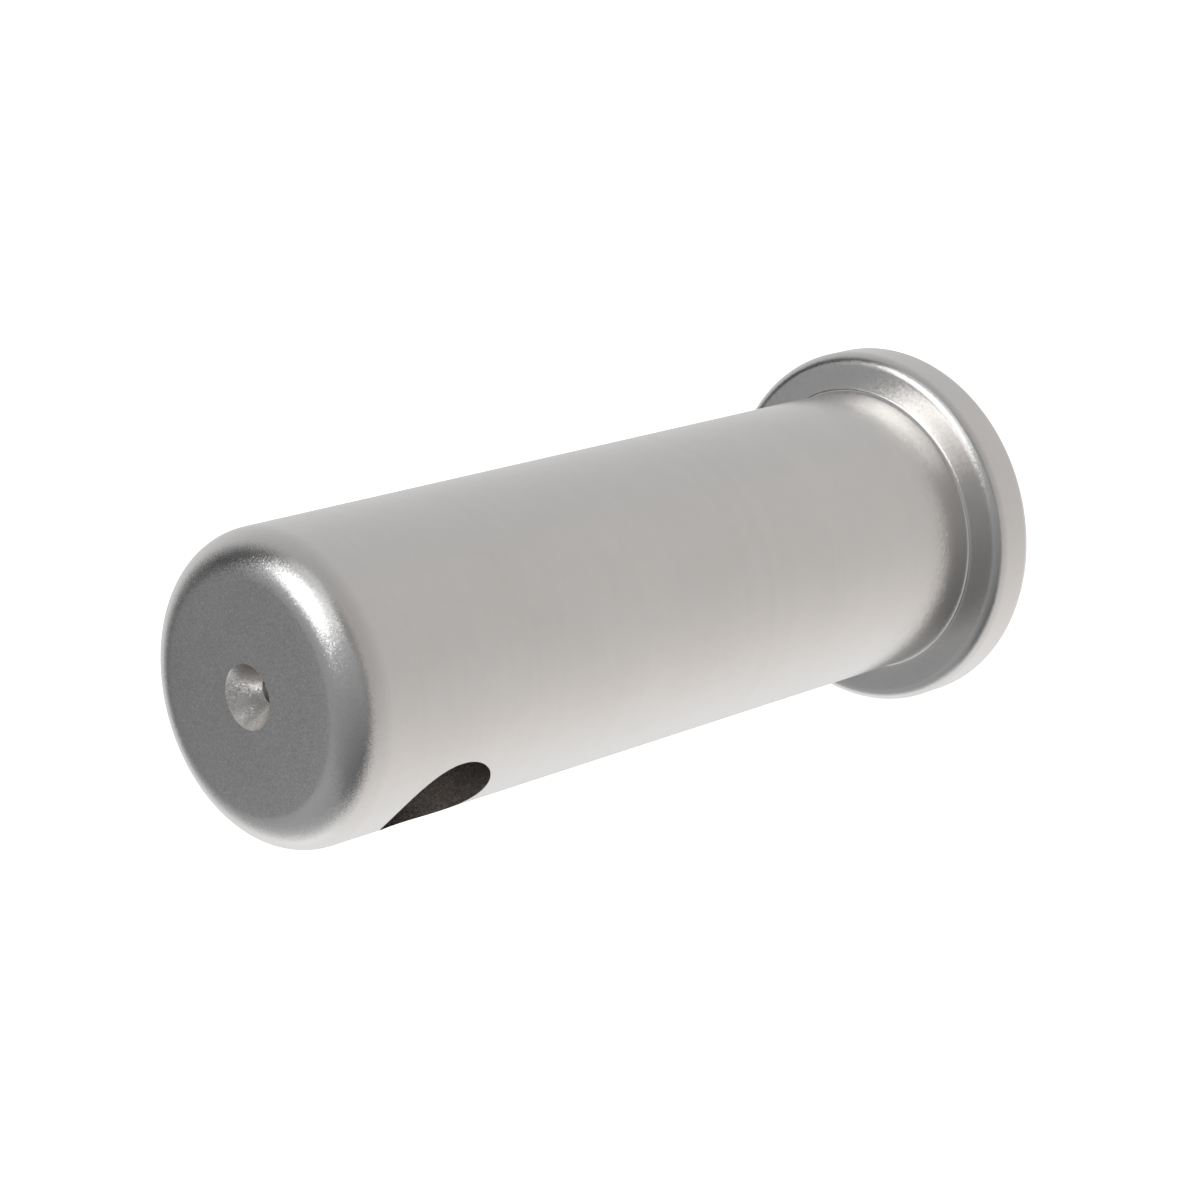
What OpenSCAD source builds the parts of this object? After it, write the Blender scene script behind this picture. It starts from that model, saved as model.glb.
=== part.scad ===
// Headed hitch pin, turned from one bar: a round head, a plain shank with a rounded free end,
// a cross hole for a linch pin or spring clip, and the centre hole left from turning.
// It stands on its head: the origin is the middle of the head's back face, and +Z runs to the free end.

/* [Shank] */
// Diameter of the shank, which carries the load
shank_d = 22; // [16:0.5:40]
// Length of the shank from under the head to the free end
shank_len = 63; // [35:0.5:160]
// Radius that rounds off the free end, so that the pin finds its hole
end_round = 3; // [1:0.25:5]
// Radius of the small fillet where the shank meets the head
root_fillet = 0.3; // [0.2:0.05:0.8]

/* [Head] */
// How far the head stands out past the shank all round
head_lip = 3; // [2.5:0.25:12]
// Thickness of the head
head_t = 4; // [3:0.25:12]
// Radius on both edges of the head's rim
head_edge = 1; // [0.4:0.1:1.4]

/* [Cross hole] */
// Diameter of the hole through the shank, for the linch pin or spring clip
cross_hole_d = 8.4; // [4:0.1:11]
// Solid length left between the free end and the near edge of the cross hole
end_web = 5.8; // [5.2:0.1:20]

/* [Centre hole] */
// Mouth of the countersink in the middle of the free end
centre_mouth_d = 4.5; // [3:0.25:6]
// Full angle of the countersink, which ran on the lathe centre
centre_angle = 60; // [60:15:90]
// Diameter of the small pilot drilling below the countersink
centre_pilot_d = 2; // [1:0.25:2.75]
// Depth of the straight part of the pilot drilling
centre_pilot_depth = 1.5; // [0.5:0.25:1.5]

/* [Hidden] */
$fn = 128;

// Point angle of the drill that made the pilot
drill_point_angle = 118;
// How far cutting shapes reach past the metal that they cut
overshoot = 1;

shank_r = shank_d / 2;
head_r = shank_r + head_lip;
end_z = head_t + shank_len;
cross_hole_z = end_z - end_web - cross_hole_d / 2;

mouth_r = centre_mouth_d / 2;
pilot_r = centre_pilot_d / 2;
countersink_depth = (mouth_r - pilot_r) / tan(centre_angle / 2);
pilot_point_h = pilot_r / tan(drill_point_angle / 2);

// What is cut away outside a convex corner of the half section to round it.
// The corner is at [x, z], and side is 1 for an upper corner and -1 for a lower one.
module corner_waste(x, z, radius, side) {
    translate([x - radius, z - side * radius])
        difference() {
            translate([0, side > 0 ? 0 : -radius - overshoot])
                square(radius + overshoot);
            circle(radius);
        }
}

module head_section() {
    difference() {
        square([head_r, head_t]);
        corner_waste(head_r, 0, head_edge, -1);
        corner_waste(head_r, head_t, head_edge, 1);
    }
}

module shank_section() {
    difference() {
        square([shank_r, end_z]);
        corner_waste(shank_r, end_z, end_round, 1);
    }
}

// Metal in the inside corner between the head's underside and the shank
module root_section() {
    difference() {
        translate([shank_r - root_fillet, head_t - root_fillet])
            square(2 * root_fillet);
        translate([shank_r + root_fillet, head_t + root_fillet])
            circle(root_fillet);
    }
}

// Head, shank and fillet, turned round the pin's axis as one solid
module turned_blank() {
    rotate_extrude() {
        head_section();
        shank_section();
        root_section();
    }
}

// The drilling for the linch pin, along Y and out through both sides of the shank
module cross_drilling() {
    translate([0, 0, cross_hole_z])
        rotate([90, 0, 0])
            cylinder(d = cross_hole_d, h = shank_d + 2 * overshoot, center = true);
}

// Countersink, pilot and drill point as one outline, turned round the pin's axis
module centre_drilling() {
    pilot_top_z = end_z - countersink_depth;
    pilot_foot_z = pilot_top_z - centre_pilot_depth;
    mouth_over_r = mouth_r + overshoot * tan(centre_angle / 2);
    rotate_extrude()
        polygon([
            [0, pilot_foot_z - pilot_point_h],
            [pilot_r, pilot_foot_z],
            [pilot_r, pilot_top_z],
            [mouth_over_r, end_z + overshoot],
            [0, end_z + overshoot]
        ]);
}

module hitch_pin() {
    color([0.78, 0.77, 0.75])
        difference() {
            turned_blank();
            cross_drilling();
            centre_drilling();
        }
}

hitch_pin();
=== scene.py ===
import math

import bpy
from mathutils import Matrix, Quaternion, Vector


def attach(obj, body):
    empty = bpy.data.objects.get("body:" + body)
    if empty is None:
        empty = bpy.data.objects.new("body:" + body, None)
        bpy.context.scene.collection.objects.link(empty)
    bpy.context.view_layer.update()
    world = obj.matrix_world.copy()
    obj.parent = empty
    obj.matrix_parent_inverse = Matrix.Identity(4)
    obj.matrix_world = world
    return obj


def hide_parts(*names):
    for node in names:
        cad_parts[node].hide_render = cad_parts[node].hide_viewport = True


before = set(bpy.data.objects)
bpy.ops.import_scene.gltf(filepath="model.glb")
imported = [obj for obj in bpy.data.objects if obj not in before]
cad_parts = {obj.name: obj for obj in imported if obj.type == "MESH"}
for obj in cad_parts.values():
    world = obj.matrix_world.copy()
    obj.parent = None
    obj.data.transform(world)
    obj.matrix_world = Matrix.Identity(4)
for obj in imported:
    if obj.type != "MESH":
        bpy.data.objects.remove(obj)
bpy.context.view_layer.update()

# A turned steel hitch pin that stands on its head on a plain pale floor, in soft studio light.

MM = 0.001

# Sizes of the pin, in millimetres, the same as its solid model has
SHANK_R = 11.0
HEAD_R = 14.0
HEAD_T = 4.0
PIN_LEN = 67.0
END_ROUND = 3.0
ROOT_FILLET = 0.3
HEAD_EDGE = 1.0
CROSS_HOLE_R = 4.2
CROSS_HOLE_Z = PIN_LEN - 10.0
CENTRE_MOUTH_R = 2.25
CENTRE_PILOT_R = 1.0
CENTRE_HALF_ANGLE = math.radians(30)
CENTRE_PILOT_DEPTH = 1.5
DRILL_POINT_HALF_ANGLE = math.radians(59)

# The drill that cuts the cross hole is longer than the shank is wide
DRILL_LENGTH = 3 * SHANK_R

# How finely the pin is drawn, with lengths in millimetres
TURN_STEPS = 224
HOLE_STEPS = 160
LONGEST_ROW = 1.2
MERGE_DISTANCE = 0.0001
SHARP_ANGLE = math.radians(28)

# The steel's relief. Scales are how many marks there are to a metre, and depths are in millimetres.
GRAIN_SCALE = 16000.0
GRAIN_LEAN = 0.31
CENTRE_GRAIN_SCALE = 12500.0
CENTRE_GRAIN_LEAN = 0.46
RING_SCALE = 2400.0
TURNED_RING_DEPTH = 0.0016
DRILLED_RING_DEPTH = 0.008

# How roughness and tone drift over the steel, and the part of it that goes from ring to ring
CLOUD_SCALE = 140.0
BAND_SCALE = 900.0
BAND_SHARE = 0.18
DRIFT_SPREAD = (0.3, 0.7)
TURNED_ROUGHNESS = (0.238, 0.262)
BORE_ROUGHNESS = (0.215, 0.245)
PILOT_ROUGHNESS = (0.3, 0.36)
DULL_STEEL = (0.783, 0.758, 0.735, 1)
CLEAN_STEEL = (0.827, 0.802, 0.779, 1)

# The speckled wall of the cross hole, and the pilot darkened with painted shade
SPECKLE_SCALE = 6000.0
SPECKLE_SPREAD = (0.37, 0.63)
DARK_BORE = (0.64, 0.613, 0.592, 1)
BRIGHT_BORE = (0.96, 0.919, 0.888, 1)
PILOT_PAINTED_SHADE = (0.6, 0.58, 0.565, 1)

# How far past its wall a hole's finish is whole, and how far past it that finish ends, in millimetres
DRILLED_REACH = (0.01, 0.03)

# A height between the cross hole and the centre hole, in millimetres
CENTRE_IS_ABOVE = 62.0

# Where the photograph was taken from, in degrees and millimetres, seen from a point on the pin's axis
CAMERA_HEADING = -20.64
CAMERA_ELEVATION = 44.05
CAMERA_ROLL = -105.43
CAMERA_DISTANCE = 235.7
CAMERA_LENS = 97.0
CAMERA_SENSOR = 36.0
CAMERA_CLIP = (0.01, 20.0)
AIM_HEIGHT = 33.55

# The floor, whose size is in metres. It glows a little, so that it stays plain and pale.
FLOOR_HALF = 3.0
FLOOR_COLOUR = (0.85, 0.85, 0.85, 1)
FLOOR_ROUGHNESS = 0.9
FLOOR_GLOW = 0.9

# The low light of the surround. Headings are in degrees from +X towards +Y.
LOW_LIGHT = 0.573
LOW_SIDE_LIGHT = 0.237
LOW_ENDS_LIGHT = 0.085
DOWN_LIGHT = 0.2
BRIGHT_SIDE = -156

# The walls and the ceiling. A spread is how far up a direction points where each begins and is whole,
# and its edge rises towards one heading.
WALL_SPREAD = (0.04, 0.59)
WALL_EDGE_RISE = 0.166
WALL_EDGE_RISES_AT = 0
WALL_LIGHT = -0.087
LIT_WALL_LIGHT = 0.379
LIT_WALL_AT = -159
CEILING_SPREAD = (0.557, 0.614)
CEILING_EDGE_RISE = 0.075
CEILING_EDGE_RISES_AT = 136
CEILING_LIGHT = 0.328
LIT_CEILING_LIGHT = 0.235
LIT_CEILING_AT = 64

# The colours of the surround: all round below, in front below, and above
FRONT_AT = -45
FRONT_SPREAD = (-0.2, 0.6)
LOW_COLOUR = (0.991, 1, 1.005, 1)
FRONT_COLOUR = (1.021, 1, 0.992, 1)
HIGH_COLOUR = (0.971, 1, 1.031, 1)

# The lamps: name, heading, elevation and half the angle it fills, in degrees, and how bright it looks
LAMPS = (
    ("key lamp", 75, 61, 18.6, 1.21),
    ("wide lamp", 50.5, 46.5, 27.3, 0.5),
    ("side lamp", -159, 25.5, 32.5, 0.142),
)
LAMP_COLOUR = (0.98, 1, 1.02)
LAMP_DISTANCE = 1.0


def add_node(tree, kind, inputs=None, **settings):
    """Adds a node, sets its properties, and gives its inputs their values or links by name or place."""
    made = tree.nodes.new(kind)
    for name, value in settings.items():
        setattr(made, name, value)
    for place, value in (inputs or {}).items():
        if isinstance(value, bpy.types.NodeSocket):
            tree.links.new(value, made.inputs[place])
        else:
            made.inputs[place].default_value = value
    return made


def calculate(tree, operation, *values):
    """A Math node's result."""
    return add_node(tree, "ShaderNodeMath", dict(enumerate(values)), operation=operation).outputs[0]


def vector(tree, operation, *values):
    """The vector that a Vector Math node makes of others."""
    return add_node(tree, "ShaderNodeVectorMath", dict(enumerate(values)), operation=operation).outputs[0]


def along(tree, first, second):
    """How far one vector goes along another."""
    product = add_node(tree, "ShaderNodeVectorMath", {0: first, 1: second}, operation="DOT_PRODUCT")
    return product.outputs["Value"]


def ranged(tree, value, spread, ends=(0.0, 1.0), **settings):
    """A value carried from one range to another, and held at its ends."""
    numbers = {
        "Value": value,
        "From Min": spread[0],
        "From Max": spread[1],
        "To Min": ends[0],
        "To Max": ends[1],
    }
    return add_node(tree, "ShaderNodeMapRange", numbers, **settings).outputs[0]


def mixed(tree, share, first, second):
    """A number that goes from the first to the second as the share grows."""
    numbers = {"Factor": share, "A": first, "B": second}
    return add_node(tree, "ShaderNodeMix", numbers, data_type="FLOAT").outputs["Result"]


def toned(tree, share, first, second):
    """A colour that goes from the first to the second as the share grows."""
    colours = {"Fac": share, "Color1": first, "Color2": second}
    return add_node(tree, "ShaderNodeMixRGB", colours).outputs[0]


def rounded_corner(corner, before, after, radius, steps):
    """The arc that rounds one corner of the half section, as points on the way from before to after."""
    to_before = (before - corner).normalized()
    to_after = (after - corner).normalized()
    half = to_before.angle(to_after) / 2
    centre = corner + (to_before + to_after).normalized() * (radius / math.sin(half))
    first = corner + to_before * (radius / math.tan(half)) - centre
    last = corner + to_after * (radius / math.tan(half)) - centre
    sweep = first.angle(last)
    arc = []
    for i in range(steps + 1):
        share = i / steps
        arm = first * math.sin((1 - share) * sweep) + last * math.sin(share * sweep)
        arc.append(centre + arm / math.sin(sweep))
    return arc


def rows_between(start, end):
    """Points between start and end, neither of them included, close enough for even faces."""
    count = max(1, math.ceil((end - start).length / LONGEST_ROW))
    return [start.lerp(end, i / count) for i in range(1, count)]


def half_section():
    """Radius and height along the pin's skin, from the middle of its back to the foot of the centre hole."""
    countersink_z = PIN_LEN - (CENTRE_MOUTH_R - CENTRE_PILOT_R) / math.tan(CENTRE_HALF_ANGLE)
    pilot_z = countersink_z - CENTRE_PILOT_DEPTH
    point_z = pilot_z - CENTRE_PILOT_R / math.tan(DRILL_POINT_HALF_ANGLE)
    # Each corner is its radius and height, the radius that rounds it, and the steps of that arc
    corners = [
        (0, 0, 0, 0),
        (HEAD_R, 0, HEAD_EDGE, 12),
        (HEAD_R, HEAD_T, HEAD_EDGE, 16),
        (SHANK_R, HEAD_T, ROOT_FILLET, 8),
        (SHANK_R, PIN_LEN, END_ROUND, 32),
        (CENTRE_MOUTH_R, PIN_LEN, 0, 0),
        (CENTRE_PILOT_R, countersink_z, 0, 0),
        (CENTRE_PILOT_R, pilot_z, 0, 0),
        (0, point_z, 0, 0),
    ]
    places = [Vector(corner[:2]) for corner in corners]
    line = []
    for i, (_, _, radius, steps) in enumerate(corners):
        stretch = [places[i]]
        if radius:
            stretch = rounded_corner(places[i], places[i - 1], places[i + 1], radius, steps)
        if line:
            line += rows_between(line[-1], stretch[0])
        line += stretch
    return line


def section_wire(name):
    """The half section as a line of edges that stands in the XZ plane."""
    verts = [(r * MM, 0, z * MM) for r, z in half_section()]
    mesh = bpy.data.meshes.new(name)
    mesh.from_pydata(verts, [(i, i + 1) for i in range(len(verts) - 1)], [])
    wire = bpy.data.objects.new(name, mesh)
    bpy.context.scene.collection.objects.link(wire)
    return wire


def turn_and_drill_tree():
    """Geometry nodes that turn a half section round Z, drill the cross hole and mark the sharp edges."""
    tree = bpy.data.node_groups.new("turn and drill", "GeometryNodeTree")
    for name, kind in (
        ("Half Section", "NodeSocketGeometry"),
        ("Turn Steps", "NodeSocketInt"),
        ("Hole Radius", "NodeSocketFloat"),
        ("Hole Height", "NodeSocketFloat"),
        ("Hole Length", "NodeSocketFloat"),
        ("Hole Steps", "NodeSocketInt"),
        ("Sharp Angle", "NodeSocketFloat"),
        ("Steel", "NodeSocketMaterial"),
    ):
        tree.interface.new_socket(name, in_out="INPUT", socket_type=kind)
    tree.interface.new_socket("Pin", in_out="OUTPUT", socket_type="NodeSocketGeometry")
    given = tree.nodes.new("NodeGroupInput").outputs
    section = given["Half Section"]

    # A flat grid with a row for each point of the section and a column for each step of the turn
    size = add_node(tree, "GeometryNodeAttributeDomainSize", {"Geometry": section}, component="MESH")
    columns = calculate(tree, "ADD", given["Turn Steps"], 1.0)
    grid = add_node(
        tree, "GeometryNodeMeshGrid", {"Vertices X": size.outputs["Point Count"], "Vertices Y": columns}
    )
    index = tree.nodes.new("GeometryNodeInputIndex").outputs[0]
    middle_of_cell = calculate(tree, "ADD", index, 0.5)
    row = calculate(tree, "FLOOR", calculate(tree, "DIVIDE", middle_of_cell, columns))
    column = calculate(tree, "SUBTRACT", index, calculate(tree, "MULTIPLY", row, columns))
    share = calculate(tree, "DIVIDE", column, given["Turn Steps"])
    angle = calculate(tree, "MULTIPLY", share, math.tau)

    # Each point of the grid goes to its place on the section, turned round the pin's axis
    position = tree.nodes.new("GeometryNodeInputPosition").outputs[0]
    on_section = add_node(
        tree,
        "GeometryNodeSampleIndex",
        {"Geometry": section, "Value": position, "Index": row},
        data_type="FLOAT_VECTOR",
        domain="POINT",
    )
    turned = add_node(
        tree,
        "ShaderNodeVectorRotate",
        {"Vector": on_section.outputs[0], "Angle": angle},
        rotation_type="Z_AXIS",
    )
    skin = add_node(
        tree, "GeometryNodeSetPosition", {"Geometry": grid.outputs["Mesh"], "Position": turned.outputs[0]}
    )
    blank = add_node(
        tree,
        "GeometryNodeMergeByDistance",
        {"Geometry": skin.outputs[0], "Distance": MERGE_DISTANCE * MM},
    )

    # The drill for the cross hole lies along Y
    drill = add_node(
        tree,
        "GeometryNodeMeshCylinder",
        {"Vertices": given["Hole Steps"], "Radius": given["Hole Radius"], "Depth": given["Hole Length"]},
    )
    height = add_node(tree, "ShaderNodeCombineXYZ", {"Z": given["Hole Height"]})
    placed = add_node(
        tree,
        "GeometryNodeTransform",
        {
            "Geometry": drill.outputs["Mesh"],
            "Translation": height.outputs[0],
            "Rotation": (math.pi / 2, 0, 0),
        },
    )
    drilled = add_node(
        tree,
        "GeometryNodeMeshBoolean",
        {"Mesh 1": blank.outputs[0], "Mesh 2": placed.outputs[0]},
        operation="DIFFERENCE",
        solver="EXACT",
    )

    # Round stretches are shaded smooth, and corners sharper than the given angle stay crisp
    smooth = add_node(tree, "GeometryNodeSetShadeSmooth", {"Geometry": drilled.outputs["Mesh"]})
    edge_angle = tree.nodes.new("GeometryNodeInputMeshEdgeAngle").outputs["Unsigned Angle"]
    corner = add_node(
        tree,
        "FunctionNodeCompare",
        {"A": edge_angle, "B": given["Sharp Angle"]},
        data_type="FLOAT",
        operation="GREATER_THAN",
    )
    crisp = add_node(
        tree,
        "GeometryNodeSetShadeSmooth",
        {"Geometry": smooth.outputs[0], "Selection": corner.outputs[0], "Shade Smooth": False},
        domain="EDGE",
    )
    whole = add_node(tree, "GeometryNodeRealizeInstances", {"Geometry": crisp.outputs[0]})
    painted = add_node(
        tree, "GeometryNodeSetMaterial", {"Geometry": whole.outputs[0], "Material": given["Steel"]}
    )
    result = tree.nodes.new("NodeGroupOutput")
    tree.links.new(painted.outputs[0], result.inputs["Pin"])
    return tree


def set_inputs(modifier, values):
    """Gives a node modifier its inputs, each by the identifier of the socket that has that name."""
    for item in modifier.node_group.interface.items_tree:
        if item.in_out == "INPUT" and item.name in values:
            modifier[item.identifier] = values[item.name]


def turned_pin(name, steel):
    """The whole pin as one plain mesh: turned, drilled, and ready to ride on its body."""
    wire = section_wire(name + "_section")
    lathe = wire.modifiers.new("lathe", "NODES")
    lathe.node_group = turn_and_drill_tree()
    set_inputs(
        lathe,
        {
            "Turn Steps": TURN_STEPS,
            "Hole Radius": CROSS_HOLE_R * MM,
            "Hole Height": CROSS_HOLE_Z * MM,
            "Hole Length": DRILL_LENGTH * MM,
            "Hole Steps": HOLE_STEPS,
            "Sharp Angle": SHARP_ANGLE,
            "Steel": steel,
        },
    )
    bpy.context.view_layer.update()
    graph = bpy.context.evaluated_depsgraph_get()
    mesh = bpy.data.meshes.new_from_object(wire.evaluated_get(graph))
    mesh.name = name
    wire.modifiers.remove(lathe)
    bpy.data.objects.remove(wire)
    pin = bpy.data.objects.new(name, mesh)
    bpy.context.scene.collection.objects.link(pin)
    return pin


def satin_steel():
    """Bare turned steel: a satin grain, faint rings and cloudy patches, with its own finish in the holes and
    painted shade darkening the centre hole's pilot.
    """
    steel = bpy.data.materials.new("satin steel")
    steel.use_nodes = True
    tree = steel.node_tree
    tree.nodes.clear()
    place = add_node(tree, "ShaderNodeTexCoord").outputs["Object"]
    axes = add_node(tree, "ShaderNodeSeparateXYZ", {0: place}).outputs

    def distance_from_axis(first, second):
        """How far a point is from an axis, from how far it is off it in two directions."""
        square = calculate(tree, "MULTIPLY", first, first)
        return calculate(tree, "SQRT", calculate(tree, "MULTIPLY_ADD", second, second, square))

    def within(distance, radius):
        """1 in a hole and on its wall, and 0 away from it."""
        spread = [(radius + reach) * MM for reach in DRILLED_REACH]
        return ranged(tree, distance, spread, (1.0, 0.0))

    def noise(dimensions, **inputs):
        """A soft random pattern, along a line or in space."""
        values = {name.capitalize(): value for name, value in inputs.items()}
        return add_node(tree, "ShaderNodeTexNoise", values, noise_dimensions=dimensions).outputs[0]

    # Where the drills have been: in the cross hole, in the centre hole, and in the centre hole's pilot
    from_axis = distance_from_axis(axes["X"], axes["Y"])
    above_cross_hole = calculate(tree, "SUBTRACT", axes["Z"], CROSS_HOLE_Z * MM)
    in_bore = within(distance_from_axis(axes["X"], above_cross_hole), CROSS_HOLE_R)
    near_end = calculate(tree, "GREATER_THAN", axes["Z"], CENTRE_IS_ABOVE * MM)
    in_centre = calculate(tree, "MULTIPLY", within(from_axis, CENTRE_MOUTH_R), near_end)
    in_pilot = calculate(tree, "MULTIPLY", within(from_axis, CENTRE_PILOT_R), near_end)
    drilled = calculate(tree, "MAXIMUM", in_bore, in_pilot)

    # Rings: the tool's path runs round the axis on turned faces, and round the hole's axis in the bore
    along_profile = calculate(tree, "SUBTRACT", axes["Z"], from_axis)
    feed = mixed(tree, in_bore, along_profile, axes["Y"])
    rings = noise("1D", w=feed, scale=RING_SCALE, detail=3.0)
    ring_depth = mixed(tree, drilled, TURNED_RING_DEPTH * MM, DRILLED_RING_DEPTH * MM)
    ring_height = calculate(tree, "MULTIPLY", rings, ring_depth)
    ringed = add_node(tree, "ShaderNodeBump", {"Height": ring_height, "Distance": 1.0}).outputs[0]

    # Grain: tiny facets that lean a little each its own way, most of them hardly at all
    grain_scale = mixed(tree, in_centre, GRAIN_SCALE, CENTRE_GRAIN_SCALE)
    grain_lean = mixed(tree, in_centre, GRAIN_LEAN, CENTRE_GRAIN_LEAN)
    cells = add_node(tree, "ShaderNodeTexVoronoi", {"Vector": place, "Scale": grain_scale})
    lean = vector(tree, "SUBTRACT", cells.outputs["Color"], (0.5, 0.5, 0.5))
    share = calculate(tree, "MULTIPLY", along(tree, lean, lean), grain_lean)
    small_lean = add_node(tree, "ShaderNodeVectorMath", {0: lean, "Scale": share}, operation="SCALE")
    relief = vector(tree, "NORMALIZE", vector(tree, "ADD", ringed, small_lean.outputs[0]))

    # Roughness and tone drift a little in soft clouds and from ring to ring
    clouds = noise("3D", vector=place, scale=CLOUD_SCALE, detail=4.0, roughness=0.6)
    bands = noise("1D", w=feed, scale=BAND_SCALE, detail=2.0)
    drift = mixed(tree, BAND_SHARE, clouds, bands)
    turned_roughness = ranged(tree, drift, DRIFT_SPREAD, TURNED_ROUGHNESS)
    bore_roughness = ranged(tree, drift, DRIFT_SPREAD, BORE_ROUGHNESS)
    pilot_roughness = ranged(tree, drift, DRIFT_SPREAD, PILOT_ROUGHNESS)
    roughness = mixed(tree, in_bore, turned_roughness, bore_roughness)
    roughness = mixed(tree, in_pilot, roughness, pilot_roughness)

    # The cross hole's wall is speckled, as a drill leaves it, and the pilot is darkened with painted shade
    speckle = noise("3D", vector=place, scale=SPECKLE_SCALE, detail=1.0)
    turned_tone = toned(tree, ranged(tree, drift, DRIFT_SPREAD), DULL_STEEL, CLEAN_STEEL)
    bore_tone = toned(tree, ranged(tree, speckle, SPECKLE_SPREAD), DARK_BORE, BRIGHT_BORE)
    tone = toned(tree, in_bore, turned_tone, bore_tone)
    # Painted shade: the pilot deep in the centre hole gets a darker colour
    tone = toned(tree, in_pilot, tone, PILOT_PAINTED_SHADE)
    surface = add_node(
        tree,
        "ShaderNodeBsdfPrincipled",
        {"Base Color": tone, "Metallic": 1.0, "Roughness": roughness, "Normal": relief},
    )
    add_node(tree, "ShaderNodeOutputMaterial", {"Surface": surface.outputs[0]})
    return steel


def pale_floor():
    """A plain pale floor that the pin stands on. The surround stands in for it in mirror images."""
    paint = bpy.data.materials.new("pale floor")
    paint.use_nodes = True
    surface = paint.node_tree.nodes["Principled BSDF"]
    surface.inputs["Base Color"].default_value = FLOOR_COLOUR
    surface.inputs["Roughness"].default_value = FLOOR_ROUGHNESS
    surface.inputs["Specular IOR Level"].default_value = 0.0
    surface.inputs["Emission Color"].default_value = (1, 1, 1, 1)
    surface.inputs["Emission Strength"].default_value = FLOOR_GLOW
    corners = [(x * FLOOR_HALF, y * FLOOR_HALF, 0) for x, y in ((-1, -1), (1, -1), (1, 1), (-1, 1))]
    mesh = bpy.data.meshes.new("floor")
    mesh.from_pydata(corners, [], [(0, 1, 2, 3)])
    mesh.materials.append(paint)
    floor = bpy.data.objects.new("floor", mesh)
    bpy.context.scene.collection.objects.link(floor)
    floor.visible_glossy = False


def direction(heading, elevation=0):
    """A unit vector, with its heading from +X towards +Y and its elevation in degrees."""
    azimuth = math.radians(heading)
    up = math.radians(elevation)
    level = math.cos(up)
    return Vector((math.cos(azimuth) * level, math.sin(azimuth) * level, math.sin(up)))


def aim_point():
    """The point on the pin's axis that the camera and the lamps face."""
    return Vector((0, 0, AIM_HEIGHT * MM))


def soft_lamp(name, heading, elevation, half_angle, brightness):
    """A round soft box that faces the pin, with the power that makes it look as bright as is asked."""
    radius = LAMP_DISTANCE * math.tan(math.radians(half_angle))
    data = bpy.data.lights.new(name, "AREA")
    data.shape = "DISK"
    data.size = 2 * radius
    data.energy = brightness * math.pi * math.pi * radius**2
    data.color = LAMP_COLOUR
    lamp = bpy.data.objects.new(name, data)
    towards = direction(heading, elevation)
    lamp.location = aim_point() + towards * LAMP_DISTANCE
    lamp.rotation_euler = towards.to_track_quat("Z", "Y").to_euler()
    bpy.context.scene.collection.objects.link(lamp)


def photo_camera():
    """The camera, at the photograph's own distance, angle and roll."""
    data = bpy.data.cameras.new("camera")
    data.lens = CAMERA_LENS
    data.sensor_width = CAMERA_SENSOR
    data.clip_start, data.clip_end = CAMERA_CLIP
    camera = bpy.data.objects.new("camera", data)
    towards = direction(CAMERA_HEADING, CAMERA_ELEVATION)
    roll = Quaternion((0, 0, 1), math.radians(CAMERA_ROLL))
    camera.rotation_euler = (towards.to_track_quat("Z", "Y") @ roll).to_euler()
    camera.location = aim_point() + towards * CAMERA_DISTANCE * MM
    bpy.context.scene.collection.objects.link(camera)
    bpy.context.scene.camera = camera


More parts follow.
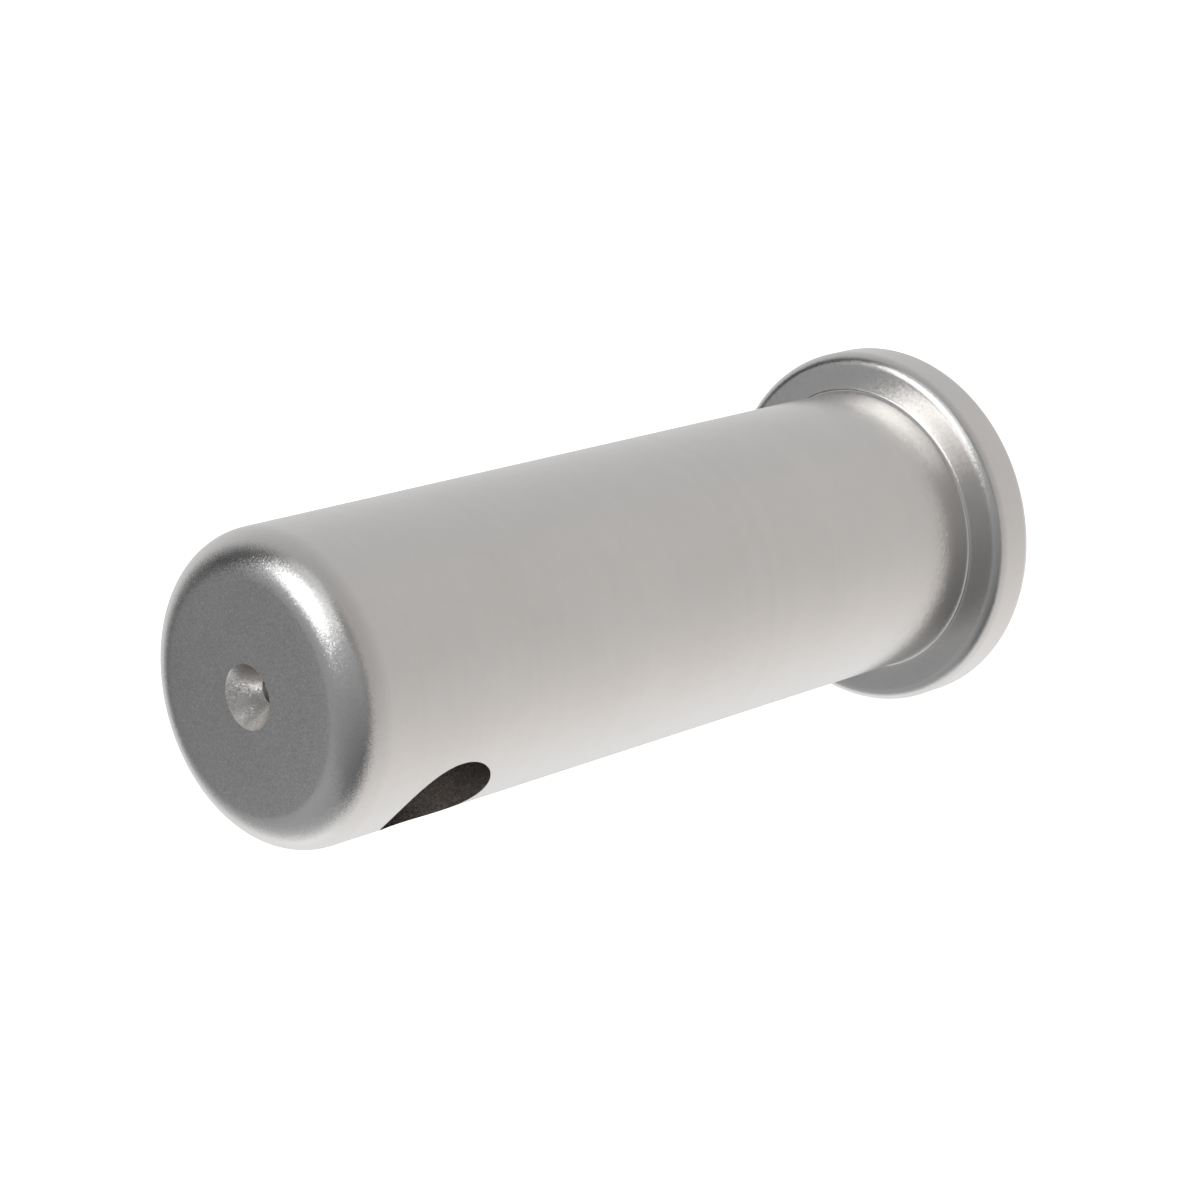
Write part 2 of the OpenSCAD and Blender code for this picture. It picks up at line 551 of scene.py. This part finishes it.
def studio_surround():
    """The soft surround: light below and at the horizon, dim walls over it and a grey ceiling."""
    world = bpy.data.worlds.new("studio surround")
    world.use_nodes = True
    tree = world.node_tree
    tree.nodes.clear()
    towards = add_node(tree, "ShaderNodeTexCoord").outputs["Generated"]
    height = add_node(tree, "ShaderNodeSeparateXYZ", {0: towards}).outputs["Z"]
    heading = vector(tree, "NORMALIZE", vector(tree, "MULTIPLY", towards, (1, 1, 0)))

    def soft_step(value, spread):
        """A share that grows softly from 0 to 1 over a spread of values."""
        return ranged(tree, value, spread, interpolation_type="SMOOTHSTEP")

    def above_edge(rise, rises_at, spread):
        """The share of what lies above an edge that rises towards one heading."""
        up = Vector((0, 0, 1)) - direction(rises_at) * rise
        return soft_step(along(tree, towards, up), spread)

    def lit_from(lit_at, lit_light, light):
        """Light that is strongest towards one heading."""
        return calculate(tree, "ADD", along(tree, towards, direction(lit_at) * lit_light), light)

    # The low light is strongest on one side, and a little stronger straight down on the other side
    side = along(tree, heading, direction(BRIGHT_SIDE))
    side_light = calculate(tree, "MULTIPLY_ADD", side, LOW_SIDE_LIGHT, LOW_LIGHT)
    ends = calculate(tree, "MULTIPLY", side, side)
    low = calculate(tree, "MULTIPLY_ADD", ends, LOW_ENDS_LIGHT, side_light)
    below = calculate(tree, "MAXIMUM", calculate(tree, "MULTIPLY", height, -1.0), 0.0)
    far_side = calculate(tree, "MULTIPLY_ADD", side, -0.5, 0.5)
    low = calculate(tree, "MULTIPLY_ADD", calculate(tree, "MULTIPLY", below, far_side), DOWN_LIGHT, low)

    # The walls take over above the horizon, and the ceiling over them
    wall_share = above_edge(WALL_EDGE_RISE, WALL_EDGE_RISES_AT, WALL_SPREAD)
    ceiling_share = above_edge(CEILING_EDGE_RISE, CEILING_EDGE_RISES_AT, CEILING_SPREAD)
    walls = calculate(tree, "MAXIMUM", lit_from(LIT_WALL_AT, LIT_WALL_LIGHT, WALL_LIGHT), 0.0)
    ceiling = lit_from(LIT_CEILING_AT, LIT_CEILING_LIGHT, CEILING_LIGHT)
    brightness = mixed(tree, wall_share, low, mixed(tree, ceiling_share, walls, ceiling))

    # The light is a little warm below in front, and a little cool above
    front = soft_step(along(tree, heading, direction(FRONT_AT)), FRONT_SPREAD)
    low_colour = toned(tree, front, LOW_COLOUR, FRONT_COLOUR)
    colour = toned(tree, wall_share, low_colour, HIGH_COLOUR)
    background = add_node(tree, "ShaderNodeBackground", {"Color": colour, "Strength": brightness})
    add_node(tree, "ShaderNodeOutputWorld", {"Surface": background.outputs[0]})
    bpy.context.scene.world = world


photo_camera()
studio_surround()
pale_floor()
for lamp in LAMPS:
    soft_lamp(*lamp)
bpy.context.scene.view_settings.view_transform = "Standard"

pin = turned_pin("turned_pin", satin_steel())
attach(pin, "root")
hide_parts("hitch_pin")
